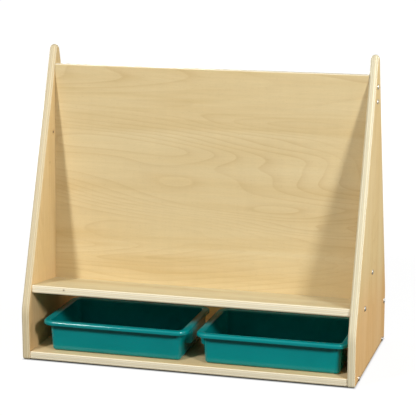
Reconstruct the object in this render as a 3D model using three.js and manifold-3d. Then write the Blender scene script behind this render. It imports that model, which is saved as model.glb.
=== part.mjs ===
// Picture book browser bin: a plywood stand with a tilted display shelf over two loose plastic trays.
// Millimetres, +X to the right seen from the front, +Y to the back, +Z up.
// The origin is on the floor, midway between the sides and midway from front to back.

import * as THREE from 'three';
import { mergeVertices } from 'three/addons/utils/BufferGeometryUtils.js';
import Module from 'manifold-3d';

const wasm = await Module();
wasm.setup();

// Plywood stand
const boardThickness = 18;
const standDepth = 381;
const standHeight = 690;
const frontBendHeight = 115;
const rearBendHeight = 120;
const topSetback = 209;
const topWidth = 20;
const footRadius = 6;
const bendRadius = 90;
const topRadius = 13;
const sideEdgeRound = 5;
const boardEdgeRound = 3.5;
const boardArris = 0.6;

// Bottom shelf, resting just clear of the floor between the sides
const bottomShelfLift = 1;
const bottomShelfInset = 4;
const bottomScrewInset = 36.5;

// Display shelf, placed by its front top edge
const shelfFrontHeight = 168.8;
const shelfInset = 5.5;
const shelfTilt = THREE.MathUtils.degToRad(7.5);
const shelfScrewInset = 78;
const shelfDowelSpacing = 90;

// Back panel, placed by its front top edge
const backTopDrop = 42;
const backTopInset = 2.5;
const backLean = THREE.MathUtils.degToRad(2.5);
const backTopScrewInset = 26;
const backTopScrewSpacing = 32;
const backLowScrewInset = 80;
const backShelfScrewCount = 3;
const backShelfScrewMargin = 90;

// Lower back panel, standing on the bottom shelf behind the trays
const lowerBackHeight = 158;
const lowerBackInset = 14;
const lowerBackDowelSpacing = 100;

// Trays
const trayLength = 340;
const trayDepth = 219;
const trayHeight = 72;
const trayWall = 2.5;
const trayRimReach = 14;
const trayRimHeight = 9;
const trayRimRound = 4;
const trayRimBend = 1.5;
const trayPullLength = 109;
const trayPullDrop = 40;
const trayPullRadius = 7;
const trayPullStep = 0.8;
const trayInnerCorner = 0.6;
const trayFloorRound = 8;
const trayDraft = THREE.MathUtils.degToRad(4);
const trayFrontInset = 7.5;
const leftTrayGap = 25.5;
const middleTrayGap = 18.5;
const rightTrayGap = 2;

// Wood screws and dowels
const screwHeadRadius = 5.75;
const screwHeadRim = 0.8;
const screwHeadHeight = 3.2;
const screwShankRadius = 2.25;
const screwLength = 45;
const screwPoint = 5;
const screwDriveWidth = 1.3;
const screwDriveSpan = 5.2;
const screwDriveDepth = 1.4;
const dowelRadius = 4;
const dowelLength = 30;
const dowelInSide = 10;
const dowelChamfer = 1;

// Clearances between fitted pieces
const fitGap = 0.3;

// Facets of round stretches
const arcDivisions = 3;
const roundSides = 12;
const bevelSteps = 3;
const screwDomeSteps = 3;
const trayBendSteps = 3;
const trayCornerSteps = 5;

// Drilling, joining, and the most of a straight edge that a rounded corner may take
const drillOvershoot = 1;
const weldDistance = 1e-4;
const cornerShare = 0.48;

// Places worked out from the sizes above
const innerWidth = leftTrayGap + trayLength + middleTrayGap + trayLength + rightTrayGap;
const innerHalf = innerWidth / 2;
const outerHalf = innerHalf + boardThickness;
const frontY = -standDepth / 2;
const rearY = standDepth / 2;
const bottomShelfTop = bottomShelfLift + boardThickness;
const boardHalf = innerHalf - fitGap;

// Looks
const birch = { color: 0xe0c896, roughness: 0.42, metalness: 0 };
const tealPlastic = { color: 0x007f7c, roughness: 0.28, metalness: 0 };
const steel = { color: 0xc9c6bd, roughness: 0.3, metalness: 1 };
const beech = { color: 0xd2ae78, roughness: 0.7, metalness: 0 };

const stand = new THREE.Group();

function place(name, geometry, look) {
  const mesh = new THREE.Mesh(geometry, new THREE.MeshStandardMaterial(look));
  mesh.name = name;
  stand.add(mesh);
  return mesh;
}

// Points of the side view are [y, z] pairs
function along(point, direction, distance) {
  return [point[0] + direction[0] * distance, point[1] + direction[1] * distance];
}

// Where the line through p along d crosses the line through q along e
function meet(p, d, q, e) {
  const cross = d[0] * e[1] - d[1] * e[0];
  const distance = ((q[0] - p[0]) * e[1] - (q[1] - p[1]) * e[0]) / cross;
  return along(p, d, distance);
}

// Solids for cutting and joining
function toSolid(geometry) {
  const bare = geometry.clone();
  bare.deleteAttribute('normal');
  bare.deleteAttribute('uv');
  const merged = mergeVertices(bare, weldDistance);
  return new wasm.Manifold(new wasm.Mesh({
    numProp: 3,
    vertProperties: new Float32Array(merged.attributes.position.array),
    triVerts: new Uint32Array(merged.index.array),
  }));
}

function toGeometry(solid) {
  const mesh = solid.getMesh();
  const geometry = new THREE.BufferGeometry();
  geometry.setAttribute('position', new THREE.BufferAttribute(mesh.vertProperties, 3));
  geometry.setIndex(new THREE.BufferAttribute(mesh.triVerts, 1));
  geometry.computeVertexNormals();
  return geometry;
}

function cutAway(geometry, cutters) {
  let solid = toSolid(geometry);
  for (const cutter of cutters) {
    solid = solid.subtract(toSolid(cutter));
  }
  return toGeometry(solid);
}

// A closed outline through corners {at, radius}, anticlockwise, each corner rounded by an arc
function roundedOutline(corners) {
  const shape = new THREE.Shape();
  corners.forEach(({ at, radius }, index) => {
    const here = new THREE.Vector2(...at);
    const before = new THREE.Vector2(...corners.at(index - 1).at);
    const after = new THREE.Vector2(...corners[(index + 1) % corners.length].at);
    const arriving = here.clone().sub(before);
    const leaving = after.clone().sub(here);
    const turn = Math.atan2(arriving.cross(leaving), arriving.dot(leaving));
    const room = cornerShare * Math.min(arriving.length(), leaving.length());
    const fitted = Math.min(radius, room / Math.tan(turn / 2));
    const tangent = fitted * Math.tan(turn / 2);
    const inward = new THREE.Vector2(-arriving.y, arriving.x).normalize();
    const start = here.clone().addScaledVector(arriving.normalize(), -tangent);
    const centre = start.clone().addScaledVector(inward, fitted);
    const startAngle = Math.atan2(start.y - centre.y, start.x - centre.x);
    shape.absarc(centre.x, centre.y, fitted, startAngle, startAngle + turn, false);
  });
  shape.closePath();
  return shape;
}

// A side-view shape run along X, from one end to the other
const sideViewToStand = new THREE.Matrix4().makeBasis(
  new THREE.Vector3(0, 1, 0),
  new THREE.Vector3(0, 0, 1),
  new THREE.Vector3(1, 0, 0),
);

function runAlongX(shape, fromX, toX, round = 0) {
  const geometry = new THREE.ExtrudeGeometry(shape, {
    depth: toX - fromX - 2 * round,
    curveSegments: arcDivisions,
    bevelEnabled: round > 0,
    bevelThickness: round,
    bevelSize: round,
    bevelOffset: -round,
    bevelSegments: bevelSteps,
  });
  geometry.translate(0, 0, fromX + round);
  return geometry.applyMatrix4(sideViewToStand);
}

// A round hole along X through a side-view point
function drillAlongX([y, z], radius, fromX, toX) {
  const length = Math.abs(toX - fromX);
  const geometry = new THREE.CylinderGeometry(radius, radius, length, roundSides);
  geometry.rotateZ(-Math.PI / 2);
  return geometry.translate((fromX + toX) / 2, y, z);
}

// Front edge of a side panel at a height above its bend
function sideFrontY(z) {
  const rise = (z - frontBendHeight) / (standHeight - frontBendHeight);
  return frontY + topSetback * rise;
}

// Display shelf: its four corners in the side view
const shelfBackward = [Math.cos(shelfTilt), -Math.sin(shelfTilt)];
const shelfUpward = [Math.sin(shelfTilt), Math.cos(shelfTilt)];
const shelfFrontTop = [sideFrontY(shelfFrontHeight) + shelfInset, shelfFrontHeight];
const shelfFrontUnder = along(shelfFrontTop, shelfUpward, -boardThickness);

// Back panel: its four corners in the side view, down to the underside of the display shelf
const backUpward = [Math.sin(backLean), Math.cos(backLean)];
const backRearward = [Math.cos(backLean), -Math.sin(backLean)];
const backTop = standHeight - backTopDrop;
const backFrontTop = [sideFrontY(backTop) + backTopInset, backTop];
const backFrontUnder = meet(backFrontTop, backUpward, shelfFrontUnder, shelfBackward);
const backRearTop = along(backFrontTop, backRearward, boardThickness);
const backRearUnder = along(backFrontUnder, backRearward, boardThickness);

// The shelf's rear edge follows the back panel's face
const shelfRearLine = along(backFrontTop, backRearward, -fitGap);
const shelfRearTop = meet(shelfFrontTop, shelfBackward, shelfRearLine, backUpward);
const shelfRearUnder = meet(shelfFrontUnder, shelfBackward, shelfRearLine, backUpward);

// Lower back panel
const lowerBackRearY = rearY - lowerBackInset;
const lowerBackFrontY = lowerBackRearY - boardThickness;
const lowerBackBottom = bottomShelfTop;
const lowerBackTop = lowerBackBottom + lowerBackHeight;
const lowerBackMiddle = [lowerBackFrontY + boardThickness / 2, lowerBackBottom + lowerBackHeight / 2];

// Points where the side screws and dowels enter each board, in the side view
const bottomFrontY = frontY + bottomShelfInset;
const bottomRearY = rearY - bottomShelfInset;
const bottomMiddleZ = bottomShelfLift + boardThickness / 2;
const bottomScrews = {
  bottom_front: [bottomFrontY + bottomScrewInset, bottomMiddleZ],
  bottom_rear: [bottomRearY - bottomScrewInset, bottomMiddleZ],
};

function shelfMiddle(distance) {
  return along(along(shelfFrontTop, shelfBackward, distance), shelfUpward, -boardThickness / 2);
}

const shelfScrews = { display_shelf: shelfMiddle(shelfScrewInset) };
const shelfDowels = {
  shelf_front: shelfMiddle(shelfScrewInset - shelfDowelSpacing / 2),
  shelf_rear: shelfMiddle(shelfScrewInset + shelfDowelSpacing / 2),
};

function backMiddle(corner, distance) {
  return along(along(corner, backUpward, distance), backRearward, boardThickness / 2);
}

const backScrews = {
  back_top: backMiddle(backFrontTop, -backTopScrewInset),
  back_upper: backMiddle(backFrontTop, -backTopScrewInset - backTopScrewSpacing),
  back_low: backMiddle(backFrontUnder, backLowScrewInset),
};

const lowerBackScrews = { lower_back: lowerBackMiddle };
const lowerBackDowels = {
  lower_back_top: along(lowerBackMiddle, [0, 1], lowerBackDowelSpacing / 2),
  lower_back_bottom: along(lowerBackMiddle, [0, 1], -lowerBackDowelSpacing / 2),
};

const sideScrews = { ...bottomScrews, ...shelfScrews, ...backScrews, ...lowerBackScrews };
const sideDowels = { ...shelfDowels, ...lowerBackDowels };
const sides = [
  { label: 'left', sign: -1 },
  { label: 'right', sign: 1 },
];

const screwHoleRadius = screwShankRadius + fitGap;
const dowelHoleRadius = dowelRadius + fitGap;
const screwHoleDepth = screwLength - boardThickness + fitGap;
const dowelHoleInBoard = dowelLength - dowelInSide + fitGap;

// Side panels, drilled for their screws and dowels
function sidePanelShape() {
  const topFrontY = frontY + topSetback;
  return roundedOutline([
    { at: [frontY, 0], radius: footRadius },
    { at: [rearY, 0], radius: footRadius },
    { at: [rearY, rearBendHeight], radius: bendRadius },
    { at: [topFrontY + topWidth, standHeight], radius: topRadius },
    { at: [topFrontY, standHeight], radius: topRadius },
    { at: [frontY, frontBendHeight], radius: bendRadius },
  ]);
}

for (const { label, sign } of sides) {
  const inner = sign * innerHalf;
  const outer = sign * outerHalf;
  const panel = runAlongX(sidePanelShape(), Math.min(inner, outer), Math.max(inner, outer), sideEdgeRound);
  const inside = inner - sign * drillOvershoot;
  const outside = outer + sign * drillOvershoot;
  const dowelEnd = inner + sign * (dowelInSide + fitGap);
  const screwHoles = Object.values(sideScrews).map(
    (point) => drillAlongX(point, screwHoleRadius, inside, outside),
  );
  const dowelHoles = Object.values(sideDowels).map(
    (point) => drillAlongX(point, dowelHoleRadius, inside, dowelEnd),
  );
  place(`side_panel_${label}`, cutAway(panel, [...screwHoles, ...dowelHoles]), birch);
}

// Boards between the sides, drilled at both ends
function boardShape(points, rounds) {
  return roundedOutline(points.map((at, index) => ({ at, radius: rounds[index] })));
}

function endHoles(screws, dowels) {
  const holes = [];
  for (const { sign } of sides) {
    const mouth = sign * (boardHalf + drillOvershoot);
    for (const point of Object.values(screws)) {
      holes.push(drillAlongX(point, screwHoleRadius, mouth, sign * (innerHalf - screwHoleDepth)));
    }
    for (const point of Object.values(dowels)) {
      holes.push(drillAlongX(point, dowelHoleRadius, mouth, sign * (innerHalf - dowelHoleInBoard)));
    }
  }
  return holes;
}

const bottomShelf = runAlongX(
  boardShape(
    [
      [bottomFrontY, bottomShelfLift],
      [bottomRearY, bottomShelfLift],
      [bottomRearY, bottomShelfTop],
      [bottomFrontY, bottomShelfTop],
    ],
    [boardEdgeRound, boardEdgeRound, boardEdgeRound, boardEdgeRound],
  ),
  -boardHalf,
  boardHalf,
);
place('bottom_shelf', cutAway(bottomShelf, endHoles(bottomScrews, {})), birch);

const lowerBack = runAlongX(
  boardShape(
    [
      [lowerBackFrontY, lowerBackBottom],
      [lowerBackRearY, lowerBackBottom],
      [lowerBackRearY, lowerBackTop],
      [lowerBackFrontY, lowerBackTop],
    ],
    [boardArris, boardArris, boardEdgeRound, boardEdgeRound],
  ),
  -boardHalf,
  boardHalf,
);
place('lower_back_panel', cutAway(lowerBack, endHoles(lowerBackScrews, lowerBackDowels)), birch);

// Screws that hold the display shelf to the back panel, square to the panel
const backScrewSeat = meet(
  backRearTop,
  backUpward,
  shelfMiddle(shelfScrewInset),
  shelfBackward,
);
const backScrewRun = innerWidth - 2 * backShelfScrewMargin;
const backScrewXs = Array.from(
  { length: backShelfScrewCount },
  (_, index) => -backScrewRun / 2 + (backScrewRun * index) / (backShelfScrewCount - 1),
);

function backScrewHoles() {
  const depth = screwLength + fitGap;
  const length = depth + drillOvershoot;
  const middle = along(backScrewSeat, backRearward, drillOvershoot - length / 2);
  return backScrewXs.map((x) => {
    const geometry = new THREE.CylinderGeometry(screwHoleRadius, screwHoleRadius, length, roundSides);
    geometry.rotateX(-backLean);
    return geometry.translate(x, ...middle);
  });
}

const displayShelf = runAlongX(
  boardShape(
    [shelfFrontUnder, shelfRearUnder, shelfRearTop, shelfFrontTop],
    [boardEdgeRound, boardArris, boardArris, boardEdgeRound],
  ),
  -boardHalf,
  boardHalf,
);
const displayShelfHoles = [...endHoles(shelfScrews, shelfDowels), ...backScrewHoles()];
place('display_shelf', cutAway(displayShelf, displayShelfHoles), birch);

const backPanel = runAlongX(
  boardShape(
    [backFrontUnder, backRearUnder, backRearTop, backFrontTop],
    [boardArris, boardEdgeRound, boardEdgeRound, boardEdgeRound],
  ),
  -boardHalf,
  boardHalf,
);
place('back_panel', cutAway(backPanel, [...endHoles(backScrews, {}), ...backScrewHoles()]), birch);

// Dome-headed wood screw along Y: its head rests at y = 0 and its point is below
function screwGeometry() {
  const profile = [
    new THREE.Vector2(0, -screwLength),
    new THREE.Vector2(screwShankRadius, -screwLength + screwPoint),
    new THREE.Vector2(screwShankRadius, 0),
    new THREE.Vector2(screwHeadRadius, 0),
  ];
  for (let step = 0; step <= screwDomeSteps; step += 1) {
    const angle = (Math.PI / 2) * (step / screwDomeSteps);
    const rise = (screwHeadHeight - screwHeadRim) * Math.sin(angle);
    const radius = step === screwDomeSteps ? 0 : screwHeadRadius * Math.cos(angle);
    profile.push(new THREE.Vector2(radius, screwHeadRim + rise));
  }
  const body = new THREE.LatheGeometry(profile, roundSides);
  const bars = [
    new THREE.BoxGeometry(screwDriveSpan, 2 * screwDriveDepth, screwDriveWidth),
    new THREE.BoxGeometry(screwDriveWidth, 2 * screwDriveDepth, screwDriveSpan),
  ];
  return cutAway(body, bars.map((bar) => bar.translate(0, screwHeadHeight, 0)));
}

for (const { label, sign } of sides) {
  for (const [joint, [y, z]] of Object.entries(sideScrews)) {
    const screw = place(`screw_${label}_${joint}`, screwGeometry(), steel);
    screw.position.set(sign * outerHalf, y, z);
    screw.rotation.z = (-sign * Math.PI) / 2;
  }
}

backScrewXs.forEach((x, index) => {
  const screw = place(`screw_back_shelf_${index + 1}`, screwGeometry(), steel);
  screw.position.set(x, ...along(backScrewSeat, backRearward, fitGap));
  screw.rotation.x = -backLean;
});

// Dowels with chamfered ends, part in the side panel and part in the board
function dowelGeometry() {
  const half = dowelLength / 2;
  const profile = [
    new THREE.Vector2(0, -half),
    new THREE.Vector2(dowelRadius - dowelChamfer, -half),
    new THREE.Vector2(dowelRadius, -half + dowelChamfer),
    new THREE.Vector2(dowelRadius, half - dowelChamfer),
    new THREE.Vector2(dowelRadius - dowelChamfer, half),
    new THREE.Vector2(0, half),
  ];
  return toGeometry(toSolid(new THREE.LatheGeometry(profile, roundSides)));
}

for (const { label, sign } of sides) {
  for (const [joint, [y, z]] of Object.entries(sideDowels)) {
    const dowel = place(`dowel_${label}_${joint}`, dowelGeometry(), beech);
    dowel.position.set(sign * (innerHalf + dowelInSide - dowelLength / 2), y, z);
    dowel.rotation.z = (-sign * Math.PI) / 2;
  }
}

// Outside of the leaning tray wall: its inset from the rim's outline at a height above the underside
function trayWallInset(z) {
  return trayRimReach + (trayHeight - z) * Math.tan(trayDraft);
}

// Bend of the wall into the rim: its top radius, where it starts and its centre's inset
const trayTopBend = trayRimBend + trayWall;
const trayBendFoot = trayHeight - trayTopBend;
const trayBendInset = trayWallInset(trayBendFoot) - trayRimBend;

// Moulded tray: a wall profile of [inset, height] points carried round a rounded rectangle
function trayProfile() {
  const innerInset = (z) => trayWallInset(z) + trayWall;
  const floorBend = trayFloorRound - trayWall;
  const underRim = trayHeight - trayWall;
  const rimFoot = trayHeight - trayRimHeight;
  const angles = Array.from(
    { length: trayBendSteps + 1 },
    (_, step) => (Math.PI / 2) * (step / trayBendSteps),
  );
  const outerFloor = angles.map((angle) => [
    trayWallInset(trayFloorRound) + trayFloorRound * (1 - Math.sin(angle)),
    trayFloorRound * (1 - Math.cos(angle)),
  ]);
  const rimUnderside = angles.map((angle) => [
    trayBendInset + trayRimBend * Math.cos(angle),
    trayBendFoot + trayRimBend * Math.sin(angle),
  ]);
  const rimEdge = [
    [trayWall, underRim],
    [trayWall, rimFoot],
    [0, rimFoot],
  ];
  const rimTop = angles.map((angle) => [
    trayRimRound * (1 - Math.cos(angle)),
    trayHeight - trayRimRound * (1 - Math.sin(angle)),
  ]);
  const mouth = angles.map((angle) => [
    trayBendInset + trayTopBend * Math.sin(angle),
    trayBendFoot + trayTopBend * Math.cos(angle),
  ]);
  const innerFloor = angles.map((angle) => [
    innerInset(trayFloorRound) + floorBend * (1 - Math.cos(angle)),
    trayFloorRound - floorBend * Math.sin(angle),
  ]);
  return [...outerFloor, ...rimUnderside, ...rimEdge, ...rimTop, ...mouth, ...innerFloor];
}

// One turn round the tray at a given inset, anticlockwise seen from above
function trayRing(inset, deepestInset) {
  const radius = trayInnerCorner + deepestInset - inset;
  const halfLength = trayLength / 2 - inset - radius;
  const halfDepth = trayDepth / 2 - inset - radius;
  const points = [];
  for (let corner = 0; corner < 4; corner += 1) {
    const cornerX = corner === 0 || corner === 3 ? halfLength : -halfLength;
    const cornerY = corner < 2 ? halfDepth : -halfDepth;
    for (let step = 0; step <= trayCornerSteps; step += 1) {
      const angle = (Math.PI / 2) * (corner + step / trayCornerSteps);
      points.push([cornerX + radius * Math.cos(angle), cornerY + radius * Math.sin(angle)]);
    }
  }
  return points;
}

function trayShell() {
  const profile = trayProfile();
  const deepestInset = profile.at(-1)[0];
  const count = 4 * (trayCornerSteps + 1);
  const positions = [];
  const triangles = [];
  for (const [inset, z] of profile) {
    for (const [x, y] of trayRing(inset, deepestInset)) {
      positions.push(x, y, z);
    }
  }
  for (let row = 0; row + 1 < profile.length; row += 1) {
    for (let column = 0; column < count; column += 1) {
      const next = (column + 1) % count;
      const low = row * count;
      const high = low + count;
      triangles.push(low + column, low + next, high + next);
      triangles.push(low + column, high + next, high + column);
    }
  }
  const underside = positions.length / 3;
  positions.push(0, 0, profile[0][1]);
  const floor = underside + 1;
  positions.push(0, 0, profile.at(-1)[1]);
  const lastRow = (profile.length - 1) * count;
  for (let column = 0; column < count; column += 1) {
    const next = (column + 1) % count;
    triangles.push(underside, next, column);
    triangles.push(floor, lastRow + column, lastRow + next);
  }
  const geometry = new THREE.BufferGeometry();
  geometry.setAttribute('position', new THREE.Float32BufferAttribute(positions, 3));
  geometry.setIndex(triangles);
  return geometry;
}

// Finger pull: a pocket open at the bottom that hangs from the rim at one end of the tray
function runAlongY(shape, halfLength) {
  const geometry = new THREE.ExtrudeGeometry(shape, {
    depth: 2 * halfLength,
    curveSegments: arcDivisions,
    bevelEnabled: false,
  });
  geometry.translate(0, 0, -halfLength);
  return geometry.rotateX(Math.PI / 2);
}

function trayPull() {
  const end = trayLength / 2;
  const top = trayHeight - trayWall / 2;
  const underRim = trayHeight - trayWall;
  const bottom = trayHeight - trayPullDrop;
  const below = bottom - drillOvershoot;
  const wallX = (z) => end - trayWallInset(z) - trayWall / 2;
  const outerX = end - trayPullStep;
  const pocketX = outerX - trayWall;
  const halfLength = trayPullLength / 2;
  const block = boardShape(
    [
      [wallX(bottom), bottom],
      [outerX, bottom],
      [outerX, top],
      [end - trayBendInset, top],
      [wallX(trayBendFoot), trayBendFoot],
    ],
    [boardArris, trayPullRadius, boardArris, boardArris, boardArris],
  );
  const pocket = boardShape(
    [
      [wallX(below), below],
      [pocketX, below],
      [pocketX, underRim],
      [wallX(underRim), underRim],
    ],
    [boardArris, boardArris, boardArris, boardArris],
  );
  const pocketSolid = toSolid(runAlongY(pocket, halfLength - trayWall));
  return toSolid(runAlongY(block, halfLength)).subtract(pocketSolid);
}

function trayGeometry() {
  return toGeometry(toSolid(trayShell()).add(trayPull()));
}

// The trays are alike and stand with their finger pulls towards each other
const trayY = frontY + trayFrontInset + trayDepth / 2;
const trayZ = bottomShelfTop + fitGap;
const leftTray = place('tray_left', trayGeometry(), tealPlastic);
leftTray.position.set(-innerHalf + leftTrayGap + trayLength / 2, trayY, trayZ);
const rightTray = place('tray_right', trayGeometry(), tealPlastic);
rightTray.position.set(innerHalf - rightTrayGap - trayLength / 2, trayY, trayZ);
rightTray.rotation.z = Math.PI;

export default stand;
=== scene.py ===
import math

import bmesh
import bpy
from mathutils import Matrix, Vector


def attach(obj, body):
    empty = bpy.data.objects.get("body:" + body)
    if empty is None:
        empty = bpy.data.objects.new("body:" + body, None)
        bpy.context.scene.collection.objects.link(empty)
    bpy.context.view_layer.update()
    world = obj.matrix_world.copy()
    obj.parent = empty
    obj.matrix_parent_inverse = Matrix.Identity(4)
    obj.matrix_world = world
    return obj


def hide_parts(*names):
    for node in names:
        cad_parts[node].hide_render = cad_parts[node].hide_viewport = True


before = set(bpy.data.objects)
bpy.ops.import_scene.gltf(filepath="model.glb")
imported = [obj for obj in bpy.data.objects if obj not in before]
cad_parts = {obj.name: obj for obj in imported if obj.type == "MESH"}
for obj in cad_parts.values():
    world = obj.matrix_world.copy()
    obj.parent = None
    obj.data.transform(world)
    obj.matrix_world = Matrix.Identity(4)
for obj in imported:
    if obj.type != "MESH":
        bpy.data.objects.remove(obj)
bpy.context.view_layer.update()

# Sizes in metres, the same as in the part's source
MM = 0.001
BOARD = 18 * MM
STAND_DEPTH = 381 * MM
STAND_HEIGHT = 690 * MM
FRONT_BEND_HEIGHT = 115 * MM
REAR_BEND_HEIGHT = 120 * MM
TOP_SETBACK = 209 * MM
TOP_WIDTH = 20 * MM
FOOT_RADIUS = 6 * MM
BEND_RADIUS = 90 * MM
TOP_RADIUS = 13 * MM
SIDE_EDGE_ROUND = 5 * MM
BOARD_EDGE_ROUND = 3.5 * MM
BOARD_ARRIS = 0.6 * MM
BOTTOM_SHELF_LIFT = 1 * MM
BOTTOM_SHELF_INSET = 4 * MM
BOTTOM_SCREW_INSET = 36.5 * MM
SHELF_FRONT_HEIGHT = 168.8 * MM
SHELF_INSET = 5.5 * MM
SHELF_TILT = math.radians(7.5)
SHELF_SCREW_INSET = 78 * MM
BACK_TOP_DROP = 42 * MM
BACK_TOP_INSET = 2.5 * MM
BACK_LEAN = math.radians(2.5)
BACK_TOP_SCREW_INSET = 26 * MM
BACK_TOP_SCREW_SPACING = 32 * MM
BACK_LOW_SCREW_INSET = 80 * MM
BACK_SHELF_SCREW_MARGIN = 90 * MM
LOWER_BACK_HEIGHT = 158 * MM
LOWER_BACK_INSET = 14 * MM
TRAY_LENGTH = 340 * MM
TRAY_DEPTH = 219 * MM
TRAY_HEIGHT = 72 * MM
TRAY_WALL = 2.5 * MM
TRAY_RIM_REACH = 14 * MM
TRAY_RIM_HEIGHT = 9 * MM
TRAY_RIM_ROUND = 4 * MM
TRAY_RIM_BEND = 1.5 * MM
TRAY_PULL_LENGTH = 109 * MM
TRAY_PULL_DROP = 40 * MM
TRAY_PULL_RADIUS = 7 * MM
TRAY_PULL_STEP = 0.8 * MM
TRAY_INNER_CORNER = 0.6 * MM
TRAY_FLOOR_ROUND = 8 * MM
TRAY_DRAFT = math.radians(4)
TRAY_FRONT_INSET = 7.5 * MM
LEFT_TRAY_GAP = 25.5 * MM
MIDDLE_TRAY_GAP = 18.5 * MM
RIGHT_TRAY_GAP = 2 * MM
FIT_GAP = 0.3 * MM
INNER_WIDTH = LEFT_TRAY_GAP + MIDDLE_TRAY_GAP + RIGHT_TRAY_GAP + 2 * TRAY_LENGTH
INNER_HALF = INNER_WIDTH / 2
OUTER_HALF = INNER_HALF + BOARD
BOARD_HALF = INNER_HALF - FIT_GAP
FRONT_Y = -STAND_DEPTH / 2
REAR_Y = STAND_DEPTH / 2
BOTTOM_SHELF_TOP = BOTTOM_SHELF_LIFT + BOARD

# Finer forms than the source has: sanded tips, and the rounded foot of a tray's rim
TIP_ROUND = 8.6 * MM
TIP_START = 640 * MM
RIM_FOOT_ROUND = 1.0 * MM

# Facets of round stretches
OUTLINE_STEPS = 14
EDGE_STEPS = 7
TRAY_STEPS = 7
RIM_FOOT_STEPS = 3
TRAY_CORNER_STEPS = 16
SCREW_HEAD_RINGS = 24
SCREW_SHANK_SIDES = 24
SMOOTH_ANGLE = math.radians(38)

# The share of a side that a corner may take, and the support points beside an arc
CORNER_SHARE = 0.48
SUPPORT = 2 * MM
SUPPORT_SHARE = 0.25

# Plies through a board's thickness, with a thin veneer on each face
PLY_COUNT = 9
PLY = BOARD / PLY_COUNT
FACE_VENEER = 0.6 * MM


def srgb(red, green, blue):
    """A colour written as it looks on screen, 0 to 255, as the shader's linear values."""
    def linear(value):
        share = value / 255
        return share / 12.92 if share <= 0.04045 else ((share + 0.055) / 1.055) ** 2.4
    return (linear(red), linear(green), linear(blue), 1.0)


# Helpers for shader and geometry trees
def blank_tree(owner):
    """The emptied node tree of a new material or world."""
    owner.use_nodes = True
    owner.node_tree.nodes.clear()
    return owner.node_tree


def add(tree, kind, inputs=None, **settings):
    """A new node with its settings, constants and links."""
    node = tree.nodes.new(kind)
    for key, value in settings.items():
        setattr(node, key, value)
    for key, value in (inputs or {}).items():
        socket = node.inputs[key]
        if isinstance(value, bpy.types.NodeSocket):
            tree.links.new(value, socket)
        else:
            socket.default_value = value
    return node


def sums(tree, operation, first, second=0.0):
    return add(tree, "ShaderNodeMath", {0: first, 1: second}, operation=operation).outputs[0]


def noise(tree, vector, detail, roughness=0.5, distortion=0.0, scale=1.0):
    inputs = {
        "Vector": vector,
        "Scale": scale,
        "Detail": detail,
        "Roughness": roughness,
        "Distortion": distortion,
    }
    return add(tree, "ShaderNodeTexNoise", inputs).outputs["Fac"]


def pattern(tree, vector, waves, *settings):
    """Noise with its own number of waves per metre along each axis."""
    stretched = add(tree, "ShaderNodeVectorMath", {0: vector, 1: waves}, operation="MULTIPLY")
    return noise(tree, stretched.outputs["Vector"], *settings)


def mapped(tree, value, low, high, to_low=0.0, to_high=1.0, shape="SMOOTHSTEP"):
    inputs = {
        "Value": value,
        "From Min": low,
        "From Max": high,
        "To Min": to_low,
        "To Max": to_high,
    }
    return add(tree, "ShaderNodeMapRange", inputs, interpolation_type=shape).outputs["Result"]


def mixed(tree, factor, first, second, mode="MIX"):
    inputs = {0: factor, 6: first, 7: second}
    node = add(tree, "ShaderNodeMix", inputs, data_type="RGBA", blend_type=mode)
    return node.outputs[2]


def graded(tree, value, stops):
    node = add(tree, "ShaderNodeValToRGB", {"Fac": value})
    elements = node.color_ramp.elements
    while len(elements) < len(stops):
        elements.new(0.5)
    for element, (position, colour) in zip(elements, stops):
        element.position = position
        element.color = colour
    return node.outputs["Color"]


def tinted(tree, colour, value, least, most):
    """A colour made a little darker or lighter by a value from 0 to 1."""
    level = mapped(tree, value, 0.0, 1.0, least, most, "LINEAR")
    grey = add(tree, "ShaderNodeCombineColor", {0: level, 1: level, 2: level}).outputs["Color"]
    return mixed(tree, 1.0, colour, grey, "MULTIPLY")


def toned(tree, colour, tone, share=1.0):
    """A colour times a tone, in full or by a share from 0 to 1."""
    return mixed(tree, share, colour, (*tone, 1), "MULTIPLY")


def bumped(tree, height, strength, distance):
    inputs = {"Height": height, "Strength": strength, "Distance": distance}
    return add(tree, "ShaderNodeBump", inputs).outputs["Normal"]


def new_finish(name):
    material = bpy.data.materials.new(name)
    tree = blank_tree(material)
    shader = add(tree, "ShaderNodeBsdfPrincipled")
    add(tree, "ShaderNodeOutputMaterial", {"Surface": shader.outputs["BSDF"]})
    return material, tree, shader


def dress(tree, shader, colour, roughness, normal, levels):
    """Links what varies over the surface, and sets the levels that are the same all over."""
    for label, socket in (("Base Color", colour), ("Roughness", roughness), ("Normal", normal)):
        tree.links.new(socket, shader.inputs[label])
    for label, level in levels.items():
        shader.inputs[label].default_value = level


# Birch plywood: colours of the veneer, the ply edges and the knots
VENEER_PALE = srgb(231, 205, 152)
VENEER = srgb(225, 196, 140)
VENEER_DEEP = srgb(215, 182, 123)
RING_LINE = srgb(192, 150, 92)
FLECK = srgb(150, 106, 62)
PLY_LONG = srgb(240, 228, 199)
PLY_CROSS = srgb(230, 213, 175)
GLUE_LINE = srgb(182, 146, 102)
KNOT_CORE = srgb(52, 34, 20)
KNOT_HALO = srgb(176, 130, 80)

# Tones of each board's faces and edges, as factors on red, green and blue. Besides each board's own
# tone they hold painted light: the display shelf and bottom shelf paler and bluer for painted sheen,
# and the sides' faces and the front edges lighter or darker for how the light falls on each
LEFT_TONE_AND_LIGHT = (0.95, 0.97, 1.04)
RIGHT_TONE_AND_LIGHT = (0.99, 1.0, 0.98)
SHELF_TONE_AND_SHEEN = (0.94, 1.11, 1.44)
BOTTOM_TONE_AND_SHEEN = (1.05, 1.08, 1.23)
BACK_TONE = (0.93, 0.99, 1.1)
LEFT_EDGE_TONE_AND_LIGHT = (0.85, 0.82, 0.74)
RIGHT_EDGE_TONE_AND_LIGHT = (0.92, 0.95, 0.94)
CROSS_EDGE_TONE_AND_LIGHT = (1.08, 1.12, 1.17)
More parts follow.
